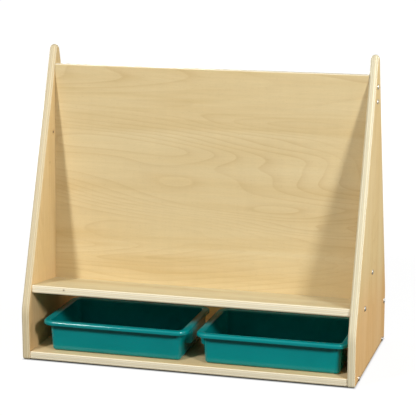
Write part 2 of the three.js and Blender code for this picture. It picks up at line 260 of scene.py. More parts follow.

# Painted shade at the foot of the side panels: the veneer darker and more orange towards the floor,
# where less light and sheen fall. Its tones, full below one height and gone above another, and how
# far those heights wander
LEFT_FOOT_PAINTED_SHADE = (1.05, 0.93, 0.87)
RIGHT_FOOT_PAINTED_SHADE = (1.03, 0.88, 0.8)
FOOT_SHADE_FULL = 150 * MM
FOOT_SHADE_NONE = 310 * MM
FOOT_SHADE_WANDER = 120 * MM

# Wood patterns: waves per metre along the grain, across it and through the board, then the noise's
# detail, roughness and distortion
FIGURE = ((1.2, 15, 0), 5, 0.55, 0.7)
RING_FIELD = ((0.8, 6, 0), 2, 0.42, 0.4)
RING_CLARITY = ((2.4, 9, 0), 2)
STREAKS = ((3, 150, 0), 3, 0.55)
FIBRE = ((30, 1000, 0), 3, 0.6)
SILK = ((48, 10, 0), 2)
DASHES = ((130, 2400, 0), 1)
PLY_STREAKS = ((14, 240, 700), 3, 0.6)
PLY_PORES = ((1900, 1900, 1900), 1)

# Brightness that a pattern gives at its least and at its most
STREAK_TINT = (0.95, 1.05)
FIBRE_TINT = (0.93, 1.07)
SILK_TINT = (0.97, 1.03)
PLY_TINT = (0.9, 1.04)
PLY_STREAK_TINT = (0.91, 1.07)

# Colours along a pattern, and ranges of a pattern with the shares that they map to
FIGURE_COLOURS = [(0.3, VENEER_PALE), (0.52, VENEER), (0.75, VENEER_DEEP)]
RING_COUNT = 30
RING_SHARPNESS = 4
RING_END = (0.93, 1, 1, 0)
RING_SHARE = (0.3, 0.7, 0.08, 0.4)
DASH_SHARE = (0.66, 0.76, 0, 0.4)
PORE_SHARE = (0.6, 0.75, 0, 0.3)
GLUE_SHARE = (0.0, 0.1, 0.5, 0.0)
KNOT_HALO_REACH = 3
KNOT_HALO_SHARE = 0.35
KNOT_CORE_REACH = 0.7

# Lacquer: roughness over the figure, relief with its strength and depth, and shine
LACQUER_ROUGHNESS = (0.25, 0.75, 0.42, 0.54)
FIBRE_RELIEF = 0.6
FIGURE_RELIEF = 0.4
GLUE_RELIEF = 0.8
LACQUER_BUMP = (0.12, 0.3 * MM)
LACQUER_LEVELS = {"Specular IOR Level": 0.16, "Coat Weight": 0.12, "Coat Roughness": 0.36}

# Where each board was cut from the wood pattern, along the grain, in metres
LEFT_OFFSET = 3.1
RIGHT_OFFSET = 5.7
BOTTOM_OFFSET = 1.3
SHELF_OFFSET = 9.4
BACK_OFFSET = 11.2
LOWER_BACK_OFFSET = 7.9

# Small knots: place in the wood, radius and strength
LEFT_KNOTS = [
    ((LEFT_OFFSET + 493 * MM, -14 * MM, BOARD), 3.2 * MM, 0.95),
    ((LEFT_OFFSET + 426 * MM, -39 * MM, BOARD), 3.4 * MM, 0.18),
]
SHELF_KNOTS = [((SHELF_OFFSET - 287 * MM, 0, 6.7 * MM), 2 * MM, 0.55)]


def growth_rings(tree, grain, field):
    """The rings' share of colour, from late wood that darkens slowly and ends at once."""
    growth = sums(tree, "FRACT", sums(tree, "MULTIPLY", field, RING_COUNT))
    late_wood = sums(tree, "POWER", growth, RING_SHARPNESS)
    rings = sums(tree, "MULTIPLY", late_wood, mapped(tree, growth, *RING_END))
    clarity = mapped(tree, pattern(tree, grain, *RING_CLARITY), *RING_SHARE)
    return sums(tree, "MULTIPLY", rings, clarity)


def face_veneer(tree, grain, figure, fibre, rings):
    veneer = graded(tree, figure, FIGURE_COLOURS)
    veneer = mixed(tree, rings, veneer, RING_LINE)
    veneer = tinted(tree, veneer, pattern(tree, grain, *STREAKS), *STREAK_TINT)
    veneer = tinted(tree, veneer, fibre, *FIBRE_TINT)
    veneer = tinted(tree, veneer, pattern(tree, grain, *SILK), *SILK_TINT)
    dashes = mapped(tree, pattern(tree, grain, *DASHES), *DASH_SHARE)
    return mixed(tree, dashes, veneer, FLECK)


def painted_foot_shade_share(tree, grain, field, start):
    """The share of the painted shade at the foot, whose upper limit wanders with the wood."""
    length = add(tree, "ShaderNodeSeparateXYZ", {0: grain}).outputs["X"]
    wander = sums(tree, "MULTIPLY", field, FOOT_SHADE_WANDER)
    height = sums(tree, "SUBTRACT", sums(tree, "ADD", length, wander), start)
    return mapped(tree, height, FOOT_SHADE_FULL, FOOT_SHADE_NONE, 1, 0)


def ply_edge(tree, grain, depth):
    """The plies' colour, and the share of glue, which rises close to a ply's two sides."""
    plies = sums(tree, "DIVIDE", depth, PLY)
    layer = sums(tree, "FLOOR", plies)
    crosswise = sums(tree, "MODULO", layer, 2)
    shade = add(tree, "ShaderNodeTexWhiteNoise", {"W": layer}, noise_dimensions="1D")
    edge = mixed(tree, crosswise, PLY_LONG, PLY_CROSS)
    edge = tinted(tree, edge, shade.outputs["Value"], *PLY_TINT)
    edge = tinted(tree, edge, pattern(tree, grain, *PLY_STREAKS), *PLY_STREAK_TINT)
    pores = mapped(tree, pattern(tree, grain, *PLY_PORES), *PORE_SHARE)
    edge = mixed(tree, sums(tree, "MULTIPLY", pores, crosswise), edge, FLECK)
    glue = mapped(tree, sums(tree, "PINGPONG", plies, 0.5), *GLUE_SHARE)
    return mixed(tree, glue, edge, GLUE_LINE), glue


def knotted(tree, colour, grain, knots):
    for centre, radius, strength in knots:
        reach = add(tree, "ShaderNodeVectorMath", {0: grain, 1: centre}, operation="DISTANCE")
        reach = reach.outputs["Value"]
        halo_radius, halo_strength = KNOT_HALO_REACH * radius, KNOT_HALO_SHARE * strength
        halo = mapped(tree, reach, radius, halo_radius, halo_strength, 0)
        core = mapped(tree, reach, KNOT_CORE_REACH * radius, radius, strength, 0)
        colour = mixed(tree, halo, colour, KNOT_HALO)
        colour = mixed(tree, core, colour, KNOT_CORE)
    return colour


def birch_ply(name, face_tone_and_light, edge_tone_and_light, knots=(), foot=None):
    """The grain attribute holds metres along the grain, across it and through the board.
    A foot gives the place along the grain where a side panel ends, and the tone of the painted shade
    on its veneer there."""
    material, tree, shader = new_finish(name)
    grain = add(tree, "ShaderNodeAttribute", attribute_name="grain").outputs["Vector"]
    depth = add(tree, "ShaderNodeSeparateXYZ", {0: grain}).outputs["Z"]
    figure = pattern(tree, grain, *FIGURE)
    fibre = pattern(tree, grain, *FIBRE)
    field = pattern(tree, grain, *RING_FIELD)

    veneer = face_veneer(tree, grain, figure, fibre, growth_rings(tree, grain, field))
    # The face and edge tones carry painted light and sheen as well as the board's own tone
    veneer = toned(tree, veneer, face_tone_and_light)
    # Painted shade: the veneer darker and more orange towards the foot of a side panel
    if foot:
        start, foot_shade = foot
        veneer = toned(tree, veneer, foot_shade, painted_foot_shade_share(tree, grain, field, start))
    edge, glue = ply_edge(tree, grain, depth)
    edge = toned(tree, edge, edge_tone_and_light)

    off_middle = sums(tree, "ABSOLUTE", sums(tree, "SUBTRACT", depth, BOARD / 2))
    inner = sums(tree, "LESS_THAN", off_middle, BOARD / 2 - FACE_VENEER)
    colour = knotted(tree, mixed(tree, inner, veneer, edge), grain, knots)

    fibre_relief = sums(tree, "MULTIPLY", fibre, FIBRE_RELIEF)
    figure_relief = sums(tree, "MULTIPLY", figure, FIGURE_RELIEF)
    glue_relief = sums(tree, "MULTIPLY", sums(tree, "MULTIPLY", glue, inner), GLUE_RELIEF)
    relief = sums(tree, "SUBTRACT", sums(tree, "ADD", fibre_relief, figure_relief), glue_relief)
    roughness = mapped(tree, figure, *LACQUER_ROUGHNESS)
    normal = bumped(tree, relief, *LACQUER_BUMP)
    dress(tree, shader, colour, roughness, normal, LACQUER_LEVELS)
    return material


# Moulded tray plastic. Its noises have detail, roughness, distortion and waves per metre
TEAL = srgb(0, 141, 141)
TEAL_DEEP = srgb(0, 133, 133)
TEAL_SCUFF = srgb(58, 150, 146)
PLASTIC_CLOUD = (3, 0.5, 0.3, 7)
PLASTIC_COLOURS = [(0.35, TEAL_DEEP), (0.65, TEAL)]
PLASTIC_ROUGHNESS = (0.3, 0.7, 0.09, 0.14)
STIPPLE = (2, 0.5, 0, 1500)
STIPPLE_BUMP = (0.03, 0.05 * MM)
SCUFFS = ((30, 30, 420), 4, 0.65)
SCUFF_RANGE = (0.64, 0.78)
SCUFF_PATCHES = (2, 0.5, 0, 11)
SCUFF_PATCH_RANGE = (0.5, 0.7)
SCUFF_COLOUR = 0.25
SCUFF_ROUGHNESS = 0.2
PLASTIC_LEVELS = {"Specular IOR Level": 0.4}


def teal_plastic():
    material, tree, shader = new_finish("teal_plastic")
    place = add(tree, "ShaderNodeTexCoord").outputs["Object"]
    cloud = noise(tree, place, *PLASTIC_CLOUD)
    wear = mapped(tree, pattern(tree, place, *SCUFFS), *SCUFF_RANGE)
    patches = mapped(tree, noise(tree, place, *SCUFF_PATCHES), *SCUFF_PATCH_RANGE)
    scuff = sums(tree, "MULTIPLY", wear, patches)
    colour = graded(tree, cloud, PLASTIC_COLOURS)
    colour = mixed(tree, sums(tree, "MULTIPLY", scuff, SCUFF_COLOUR), colour, TEAL_SCUFF)
    roughness = mapped(tree, cloud, *PLASTIC_ROUGHNESS)
    roughness = sums(tree, "ADD", roughness, sums(tree, "MULTIPLY", scuff, SCUFF_ROUGHNESS))
    normal = bumped(tree, noise(tree, place, *STIPPLE), *STIPPLE_BUMP)
    dress(tree, shader, colour, roughness, normal, PLASTIC_LEVELS)
    return material


# Bright plated screws
PLATING = srgb(234, 232, 226)
PLATING_DULL = srgb(204, 200, 192)
PLATING_BLOTCH = (3, 0.6, 0, 320)
PLATING_COLOURS = [(0.4, PLATING), (0.7, PLATING_DULL)]
PLATING_ROUGHNESS = (0.3, 0.7, 0.28, 0.42)
TURNING = (1, 0.5, 0, 3600)
TURNING_BUMP = (0.08, 0.1 * MM)
STEEL_LEVELS = {"Metallic": 1.0}


def screw_steel():
    material, tree, shader = new_finish("screw_steel")
    place = add(tree, "ShaderNodeTexCoord").outputs["Object"]
    blotch = noise(tree, place, *PLATING_BLOTCH)
    colour = graded(tree, blotch, PLATING_COLOURS)
    roughness = mapped(tree, blotch, *PLATING_ROUGHNESS)
    normal = bumped(tree, noise(tree, place, *TURNING), *TURNING_BUMP)
    dress(tree, shader, colour, roughness, normal, STEEL_LEVELS)
    return material


# Bare beech dowels, with the grain along X
BEECH = srgb(214, 178, 126)
BEECH_FLECK = srgb(160, 112, 70)
BEECH_FIBRE = ((60, 900, 900), 3, 0.6)
BEECH_TINT = (0.88, 1.08)
BEECH_FLECKS = ((320, 2200, 2200), 1)
BEECH_FLECK_SHARE = (0.6, 0.72, 0, 0.6)
BEECH_ROUGHNESS = (0.2, 0.8, 0.6, 0.75)
BEECH_BUMP = (0.2, 0.2 * MM)


def dowel_beech():
    material, tree, shader = new_finish("dowel_beech")
    place = add(tree, "ShaderNodeTexCoord").outputs["Object"]
    fibre = pattern(tree, place, *BEECH_FIBRE)
    flecks = mapped(tree, pattern(tree, place, *BEECH_FLECKS), *BEECH_FLECK_SHARE)
    colour = mixed(tree, flecks, tinted(tree, BEECH, fibre, *BEECH_TINT), BEECH_FLECK)
    roughness = mapped(tree, fibre, *BEECH_ROUGHNESS)
    dress(tree, shader, colour, roughness, bumped(tree, fibre, *BEECH_BUMP), {})
    return material


# Objects and meshes
def in_scene(name, data):
    made = bpy.data.objects.new(name, data)
    bpy.context.scene.collection.objects.link(made)
    return made


def piece(name, mesh, material=None):
    made = in_scene(name, mesh)
    if material is not None:
        mesh.materials.clear()
        mesh.materials.append(material)
    mesh.shade_smooth()
    mesh.set_sharp_from_angle(angle=SMOOTH_ANGLE)
    return made


def fitted(made, body, slot, *nodes):
    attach(made, body)
    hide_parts(*nodes)


def evaluated_mesh(name, made):
    """The plain mesh that an object's modifiers make."""
    evaluated = made.evaluated_get(bpy.context.evaluated_depsgraph_get())
    result = bpy.data.meshes.new_from_object(evaluated)
    result.name = name
    return result


def ring_mesh(name, rings):
    """A closed skin over rings of as many points each, capped at both ends."""
    count = len(rings[0])
    points = [point for ring in rings for point in ring]
    faces = [list(range(count))[::-1], [len(points) - count + index for index in range(count)]]
    for low in range(0, len(points) - count, count):
        for index in range(count):
            after = (index + 1) % count
            faces.append([low + index, low + after, low + count + after, low + count + index])
    mesh = bpy.data.meshes.new(name)
    mesh.from_pydata(points, [], faces)
    shape = bmesh.new()
    shape.from_mesh(mesh)
    bmesh.ops.recalc_face_normals(shape, faces=shape.faces)
    shape.to_mesh(mesh)
    shape.free()
    return mesh


def rounded_outline(corners, steps):
    """Points and outward normals round a closed outline of corners (y, z, radius), anticlockwise.
    A support point on each side of an arc keeps the flat stretches flat in the shading."""
    count = len(corners)
    spots = [Vector(corner[:2]) for corner in corners]
    ways = [(spots[(index + 1) % count] - spots[index]) for index in range(count)]
    lengths = [way.length for way in ways]
    ways = [way.normalized() for way in ways]
    turns, radii, tangents = [], [], []
    for index, corner in enumerate(corners):
        arriving, leaving = ways[index - 1], ways[index]
        turn = math.atan2(arriving.x * leaving.y - arriving.y * leaving.x, arriving.dot(leaving))
        room = CORNER_SHARE * min(lengths[index - 1], lengths[index])
        radius = min(corner[2], room / math.tan(turn / 2))
        turns.append(turn)
        radii.append(radius)
        tangents.append(radius * math.tan(turn / 2))
    outline = []
    for index, spot in enumerate(spots):
        arriving, leaving = ways[index - 1], ways[index]
        start = spot - arriving * tangents[index]
        inward = Vector((-arriving.y, arriving.x))
        centre = start + inward * radii[index]
        first = math.atan2(start.y - centre.y, start.x - centre.x)
        before = lengths[index - 1] - tangents[index - 1] - tangents[index]
        after = lengths[index] - tangents[index] - tangents[(index + 1) % count]
        outline.append((start - arriving * min(SUPPORT, SUPPORT_SHARE * before), -inward))
        for step in range(steps + 1):
            angle = first + turns[index] * step / steps
            normal = Vector((math.cos(angle), math.sin(angle)))
            outline.append((centre + normal * radii[index], normal))
        end = spot + leaving * tangents[index]
        outward = Vector((leaving.y, -leaving.x))
        outline.append((end + leaving * min(SUPPORT, SUPPORT_SHARE * after), outward))
    return outline


def set_grain(mesh, grain_of):
    """Stores each point's place in the wood: along the grain, across it and through the board."""
    values = []
    for vertex in mesh.vertices:
        values.extend(grain_of(vertex.co))
    mesh.attributes.new("grain", "FLOAT_VECTOR", "POINT").data.foreach_set("vector", values)


# Side panels
def side_front_y(z):
    """The front edge of the sides above their bend."""
    rise = (z - FRONT_BEND_HEIGHT) / (STAND_HEIGHT - FRONT_BEND_HEIGHT)
    return FRONT_Y + TOP_SETBACK * rise


TOP_FRONT_Y = FRONT_Y + TOP_SETBACK
SIDE_CORNERS = [
    (FRONT_Y, 0, FOOT_RADIUS),
    (REAR_Y, 0, FOOT_RADIUS),
    (REAR_Y, REAR_BEND_HEIGHT, BEND_RADIUS),
    (TOP_FRONT_Y + TOP_WIDTH, STAND_HEIGHT, TOP_RADIUS),
    (TOP_FRONT_Y, STAND_HEIGHT, TOP_RADIUS),
    (FRONT_Y, FRONT_BEND_HEIGHT, BEND_RADIUS),
]


def side_round(z):
    """Radius of the rounded edge, which is larger at the sanded tip."""
    share = min(max((z - TIP_START) / (STAND_HEIGHT - TIP_START), 0), 1)
    return SIDE_EDGE_ROUND + (TIP_ROUND - SIDE_EDGE_ROUND) * share * share * (3 - 2 * share)


def side_rings(inner, outer):
    """Rings from the inner face to the outer face, with a rounded edge at each."""
    outline = rounded_outline(SIDE_CORNERS, OUTLINE_STEPS)
    way = 1 if outer > inner else -1
    angles = [math.pi / 2 * step / EDGE_STEPS for step in range(EDGE_STEPS + 1)]
    levels = [(0, 1, SUPPORT)]
    levels += [(1 - math.cos(angle), 1 - math.sin(angle), 0) for angle in angles]
    rings = []
    for far in (False, True):
        for travel, inset, more in reversed(levels) if far else levels:
            ring = []
            for point, normal in outline:
                radius = side_round(point.y)
                at = point - normal * (radius * inset + more)
                depth = BOARD - radius * travel if far else radius * travel
                ring.append((inner + way * depth, at.x, at.y))
            rings.append(ring)
    return rings


def side_panel(label, sign, offset, face_tone_and_light, foot_shade, edge_tone_and_light, knots=()):
    rings = side_rings(sign * INNER_HALF, sign * OUTER_HALF)
    mesh = ring_mesh(f"side_panel_{label}_board", rings)
    set_grain(mesh, lambda at: (at.z + offset, at.y, OUTER_HALF - abs(at.x)))
    birch = birch_ply(f"birch_side_{label}", face_tone_and_light, edge_tone_and_light, knots, (offset, foot_shade))
    fitted(piece(mesh.name, mesh, birch), "stand", "birch_ply", f"side_panel_{label}")


# Boards between the sides, as side views of their four corners
def along(point, way, distance):
    return (point[0] + way[0] * distance, point[1] + way[1] * distance)


def meet(point, way, other, other_way):
    """Where the line from a point along its way crosses the line from another along its own."""
    gap = (other[0] - point[0], other[1] - point[1])
    cross = way[0] * other_way[1] - way[1] * other_way[0]
    return along(point, way, (gap[0] * other_way[1] - gap[1] * other_way[0]) / cross)


SHELF_BACKWARD = (math.cos(SHELF_TILT), -math.sin(SHELF_TILT))
SHELF_UPWARD = (math.sin(SHELF_TILT), math.cos(SHELF_TILT))
SHELF_FRONT_TOP = (side_front_y(SHELF_FRONT_HEIGHT) + SHELF_INSET, SHELF_FRONT_HEIGHT)
SHELF_FRONT_UNDER = along(SHELF_FRONT_TOP, SHELF_UPWARD, -BOARD)
BACK_UPWARD = (math.sin(BACK_LEAN), math.cos(BACK_LEAN))
BACK_REARWARD = (math.cos(BACK_LEAN), -math.sin(BACK_LEAN))
BACK_TOP = STAND_HEIGHT - BACK_TOP_DROP
BACK_FRONT_TOP = (side_front_y(BACK_TOP) + BACK_TOP_INSET, BACK_TOP)
BACK_FRONT_UNDER = meet(BACK_FRONT_TOP, BACK_UPWARD, SHELF_FRONT_UNDER, SHELF_BACKWARD)
BACK_REAR_TOP = along(BACK_FRONT_TOP, BACK_REARWARD, BOARD)
BACK_REAR_UNDER = along(BACK_FRONT_UNDER, BACK_REARWARD, BOARD)
SHELF_REAR_LINE = along(BACK_FRONT_TOP, BACK_REARWARD, -FIT_GAP)
SHELF_REAR_TOP = meet(SHELF_FRONT_TOP, SHELF_BACKWARD, SHELF_REAR_LINE, BACK_UPWARD)
SHELF_REAR_UNDER = meet(SHELF_FRONT_UNDER, SHELF_BACKWARD, SHELF_REAR_LINE, BACK_UPWARD)
LOWER_BACK_REAR_Y = REAR_Y - LOWER_BACK_INSET
LOWER_BACK_FRONT_Y = LOWER_BACK_REAR_Y - BOARD
LOWER_BACK_TOP = BOTTOM_SHELF_TOP + LOWER_BACK_HEIGHT
BOTTOM_FRONT_Y = FRONT_Y + BOTTOM_SHELF_INSET
BOTTOM_REAR_Y = REAR_Y - BOTTOM_SHELF_INSET


def cross_board(node, corners, rounds, face, through, offset, face_tone_and_light, knots=()):
    """A board along X. Face is a point on one broad face, and through points into the board."""
    outline = rounded_outline([(*at, radius) for at, radius in zip(corners, rounds)], EDGE_STEPS)
    rings = [[(x, at.x, at.y) for at, _ in outline] for x in (-BOARD_HALF, BOARD_HALF)]
    mesh = ring_mesh(f"{node}_board", rings)
    across = (-through[1], through[0])

    def grain_of(at):
        away = (at.y - face[0], at.z - face[1])
        width = away[0] * across[0] + away[1] * across[1]
        depth = away[0] * through[0] + away[1] * through[1]
        return (at.x + offset, width, depth)

    set_grain(mesh, grain_of)
    birch = birch_ply(f"birch_{node}", face_tone_and_light, CROSS_EDGE_TONE_AND_LIGHT, knots)
    fitted(piece(mesh.name, mesh, birch), "stand", "birch_ply", node)


def stand_boards():
    side_panel("left", -1, LEFT_OFFSET, LEFT_TONE_AND_LIGHT, LEFT_FOOT_PAINTED_SHADE, LEFT_EDGE_TONE_AND_LIGHT, LEFT_KNOTS)
    side_panel("right", 1, RIGHT_OFFSET, RIGHT_TONE_AND_LIGHT, RIGHT_FOOT_PAINTED_SHADE, RIGHT_EDGE_TONE_AND_LIGHT)
    cross_board(
        "bottom_shelf",
        [
            (BOTTOM_FRONT_Y, BOTTOM_SHELF_LIFT),
            (BOTTOM_REAR_Y, BOTTOM_SHELF_LIFT),
            (BOTTOM_REAR_Y, BOTTOM_SHELF_TOP),
            (BOTTOM_FRONT_Y, BOTTOM_SHELF_TOP),
        ],
        [BOARD_EDGE_ROUND] * 4,
        (BOTTOM_FRONT_Y, BOTTOM_SHELF_TOP),
        (0, -1),
        BOTTOM_OFFSET,
        BOTTOM_TONE_AND_SHEEN,
    )
    cross_board(
        "lower_back_panel",
        [
            (LOWER_BACK_FRONT_Y, BOTTOM_SHELF_TOP),
            (LOWER_BACK_REAR_Y, BOTTOM_SHELF_TOP),
            (LOWER_BACK_REAR_Y, LOWER_BACK_TOP),
            (LOWER_BACK_FRONT_Y, LOWER_BACK_TOP),
        ],
        [BOARD_ARRIS, BOARD_ARRIS, BOARD_EDGE_ROUND, BOARD_EDGE_ROUND],
        (LOWER_BACK_FRONT_Y, BOTTOM_SHELF_TOP),
        (1, 0),
        LOWER_BACK_OFFSET,
        BACK_TONE,
    )
    cross_board(
        "display_shelf",
        [SHELF_FRONT_UNDER, SHELF_REAR_UNDER, SHELF_REAR_TOP, SHELF_FRONT_TOP],
        [BOARD_EDGE_ROUND, BOARD_ARRIS, BOARD_ARRIS, BOARD_EDGE_ROUND],
        SHELF_FRONT_TOP,
        (-SHELF_UPWARD[0], -SHELF_UPWARD[1]),
        SHELF_OFFSET,
        SHELF_TONE_AND_SHEEN,
        SHELF_KNOTS,
    )
    cross_board(
        "back_panel",
        [BACK_FRONT_UNDER, BACK_REAR_UNDER, BACK_REAR_TOP, BACK_FRONT_TOP],
        [BOARD_ARRIS, BOARD_EDGE_ROUND, BOARD_EDGE_ROUND, BOARD_EDGE_ROUND],
        BACK_FRONT_TOP,
        BACK_REARWARD,
        BACK_OFFSET,
        BACK_TONE,
    )


# Geometry node trees: made from a starting mesh, with sizes as named inputs
def geometry_tree(name, sizes):
    tree = bpy.data.node_groups.new(name, "GeometryNodeTree")
    tree.interface.new_socket("Geometry", in_out="INPUT", socket_type="NodeSocketGeometry")
    for label, value in sizes.items():
        kind = "NodeSocketInt" if isinstance(value, int) else "NodeSocketFloat"
        tree.interface.new_socket(label, in_out="INPUT", socket_type=kind)
    tree.interface.new_socket("Geometry", in_out="OUTPUT", socket_type="NodeSocketGeometry")
    return tree, tree.nodes.new("NodeGroupInput").outputs


def end_tree(tree, geometry, material):
    whole = add(tree, "GeometryNodeRealizeInstances", {0: geometry}).outputs[0]
    dressed = add(tree, "GeometryNodeSetMaterial", {"Geometry": whole, "Material": material})
    add(tree, "NodeGroupOutput", {0: dressed.outputs[0]})


def grown(name, start, tree, sizes):
    """The plain mesh that a tree makes from a starting mesh."""
    made = in_scene(name, start)
    modifier = made.modifiers.new(name, "NODES")
    modifier.node_group = tree
    for item in tree.interface.items_tree:
        if item.in_out == "INPUT" and item.name in sizes:
            modifier[item.identifier] = sizes[item.name]
    result = evaluated_mesh(name, made)
    made.modifiers.remove(modifier)
    bpy.data.objects.remove(made)
    return result


def triple(tree, x, y, z):
    return add(tree, "ShaderNodeCombineXYZ", {0: x, 1: y, 2: z}).outputs[0]


def moved(tree, geometry, **changes):
    inputs = {"Geometry": geometry}
    inputs.update({key.title(): value for key, value in changes.items()})
    return add(tree, "GeometryNodeTransform", inputs).outputs[0]


def welded(tree, *solids):
    """Solids joined into one."""
    node = add(tree, "GeometryNodeMeshBoolean", operation="UNION", solver="EXACT")
    for solid in solids:
        tree.links.new(solid, node.inputs["Mesh 2"])
    return node.outputs[0]


def carved(tree, solid, *tools):
    """A solid with tools cut from it."""
    inputs = {"Mesh 1": solid}
    node = add(tree, "GeometryNodeMeshBoolean", inputs, operation="DIFFERENCE", solver="EXACT")
    for tool in tools:
        tree.links.new(tool, node.inputs["Mesh 2"])
    return node.outputs[0]


# Trays: a wall profile carried round a rounded rectangle
def wall_inset(z):
    """Inset of the wall's outside from the rim's outline at a height above the tray's underside."""
    return TRAY_RIM_REACH + (TRAY_HEIGHT - z) * math.tan(TRAY_DRAFT)


TOP_BEND = TRAY_RIM_BEND + TRAY_WALL
BEND_FOOT = TRAY_HEIGHT - TOP_BEND
BEND_INSET = wall_inset(BEND_FOOT) - TRAY_RIM_BEND
FLOOR_BEND = TRAY_FLOOR_ROUND - TRAY_WALL
DEEPEST_INSET = wall_inset(TRAY_FLOOR_ROUND) + TRAY_WALL + FLOOR_BEND
RIM_CORNER = TRAY_INNER_CORNER + DEEPEST_INSET
MERGE_DISTANCE = 0.01 * MM
POCKET_OVERRUN = 1 * MM

# Directions in a wall's profile, in degrees
INWARD, UP, OUTWARD, DOWN, FULL_TURN = 0, 90, 180, 270, 360


def arc(inset, z, radius, start, end, steps=TRAY_STEPS):
    """Profile points round a centre, from one direction to another."""
    angles = [math.radians(start + (end - start) * step / steps) for step in range(steps + 1)]
    return [(inset + radius * math.cos(angle), z + radius * math.sin(angle)) for angle in angles]


def tray_profile():
    """Points (inset, height) from the underside, up the outside, over the rim, down the inside."""
    lean = math.degrees(TRAY_DRAFT)
    wall_foot = wall_inset(TRAY_FLOOR_ROUND)
    outer_centre = wall_foot + TRAY_FLOOR_ROUND
    inner_centre = wall_foot + TRAY_WALL + FLOOR_BEND
    foot_z = TRAY_HEIGHT - TRAY_RIM_HEIGHT + RIM_FOOT_ROUND
    skirt_inner = (TRAY_WALL - RIM_FOOT_ROUND, foot_z, RIM_FOOT_ROUND)
    skirt_outer = (RIM_FOOT_ROUND, foot_z, RIM_FOOT_ROUND)
    rim_edge = (TRAY_RIM_ROUND, TRAY_HEIGHT - TRAY_RIM_ROUND, TRAY_RIM_ROUND)
    profile = arc(outer_centre, TRAY_FLOOR_ROUND, TRAY_FLOOR_ROUND, DOWN, OUTWARD + lean)
    profile += arc(BEND_INSET, BEND_FOOT, TRAY_RIM_BEND, INWARD + lean, UP)
    profile.append((TRAY_WALL + RIM_FOOT_ROUND, TRAY_HEIGHT - TRAY_WALL))
    profile += arc(*skirt_inner, INWARD, DOWN - FULL_TURN, RIM_FOOT_STEPS)
    profile += arc(*skirt_outer, DOWN, OUTWARD, RIM_FOOT_STEPS)
    profile += arc(*rim_edge, OUTWARD, UP)
    profile += arc(BEND_INSET, BEND_FOOT, TOP_BEND, UP, INWARD + lean)
    profile += arc(inner_centre, TRAY_FLOOR_ROUND, FLOOR_BEND, OUTWARD + lean, DOWN)
    return profile


TRAY_SIZES = {
    "Length": TRAY_LENGTH,
    "Depth": TRAY_DEPTH,
    "Rim corner": RIM_CORNER,
    "Corner steps": TRAY_CORNER_STEPS,
}


def tray_tree(material):
    tree, sizes = geometry_tree("tray_shell", TRAY_SIZES)
    outline = add(
        tree,
        "GeometryNodeCurvePrimitiveQuadrilateral",
        {"Width": sizes["Length"], "Height": sizes["Depth"]},
    ).outputs[0]
    rounded = add(
        tree,
        "GeometryNodeFilletCurve",
        {"Curve": outline, "Radius": sizes["Rim corner"], "Count": sizes["Corner steps"]},
        mode="POLY",
    ).outputs[0]
    profile = add(tree, "GeometryNodeMeshToCurve", {0: sizes["Geometry"]}).outputs[0]
    shell = add(tree, "GeometryNodeCurveToMesh", {"Curve": rounded, "Profile Curve": profile})
    end_tree(tree, shell.outputs[0], material)
    return tree


def tray_shell(tree):
    points = [(-inset, -z, 0) for inset, z in tray_profile()]
    edges = [(index, index + 1) for index in range(len(points) - 1)]
    wire = bpy.data.meshes.new("tray_profile")
    wire.from_pydata(points, edges, [])
    mesh = grown("tray_shell", wire, tree, TRAY_SIZES)
    shape = bmesh.new()
    shape.from_mesh(mesh)
    bmesh.ops.remove_doubles(shape, verts=shape.verts, dist=MERGE_DISTANCE)
    open_edges = [edge for edge in shape.edges if edge.is_boundary]
    bmesh.ops.holes_fill(shape, edges=open_edges, sides=0)
    bmesh.ops.recalc_face_normals(shape, faces=shape.faces)
    shape.to_mesh(mesh)
    shape.free()
    return mesh


def prism_along_y(name, corners, rounds, half):
    """A closed prism from an outline of (x, z) corners."""
    outline = rounded_outline([(*at, radius) for at, radius in zip(corners, rounds)], EDGE_STEPS)
    rings = [[(at.x, y, at.y) for at, _ in outline] for y in (half, -half)]
    return ring_mesh(name, rings)


def pull_solids():
    """The finger pull's block and the pocket cut from it, at the tray's +X end."""
    end = TRAY_LENGTH / 2
    top = TRAY_HEIGHT - TRAY_WALL / 2
    under_rim = TRAY_HEIGHT - TRAY_WALL
    bottom = TRAY_HEIGHT - TRAY_PULL_DROP
    below = bottom - POCKET_OVERRUN

    def wall_x(z):
        return end - wall_inset(z) - TRAY_WALL / 2

    outer_x = end - TRAY_PULL_STEP
    pocket_x = outer_x - TRAY_WALL
    half = TRAY_PULL_LENGTH / 2
    block = prism_along_y(
        "pull_block",
        [
            (wall_x(bottom), bottom),
            (outer_x, bottom),
            (outer_x, top),
            (end - BEND_INSET, top),
            (wall_x(BEND_FOOT), BEND_FOOT),
        ],
        [BOARD_ARRIS, TRAY_PULL_RADIUS, BOARD_ARRIS, BOARD_ARRIS, BOARD_ARRIS],
        half,
    )
    pocket = prism_along_y(
        "pull_pocket",
        [
            (wall_x(below), below),
            (pocket_x, below),
            (pocket_x, under_rim),
            (wall_x(under_rim), under_rim),
        ],
        [BOARD_ARRIS] * 4,
        half - TRAY_WALL,
    )
    return block, pocket


def combined(name, first, second, operation):
    """Two closed meshes joined or cut."""
    base = in_scene(name, first)
    tool = in_scene(f"{name}_tool", second)
    modifier = base.modifiers.new(name, "BOOLEAN")
    modifier.operation = operation
    modifier.solver = "EXACT"
    modifier.object = tool
    result = evaluated_mesh(name, base)
    bpy.data.objects.remove(base)
    bpy.data.objects.remove(tool)
    return result


def turned_to(mesh, place, turn):
    """Turns a mesh about Z and moves it to its place."""
    x, y, z = place
    spin = Vector((math.cos(turn), math.sin(turn)))
    for vertex in mesh.vertices:
        at = vertex.co.copy()
        turned_x = x + at.x * spin.x - at.y * spin.y
        turned_y = y + at.x * spin.y + at.y * spin.x
        vertex.co = (turned_x, turned_y, z + at.z)


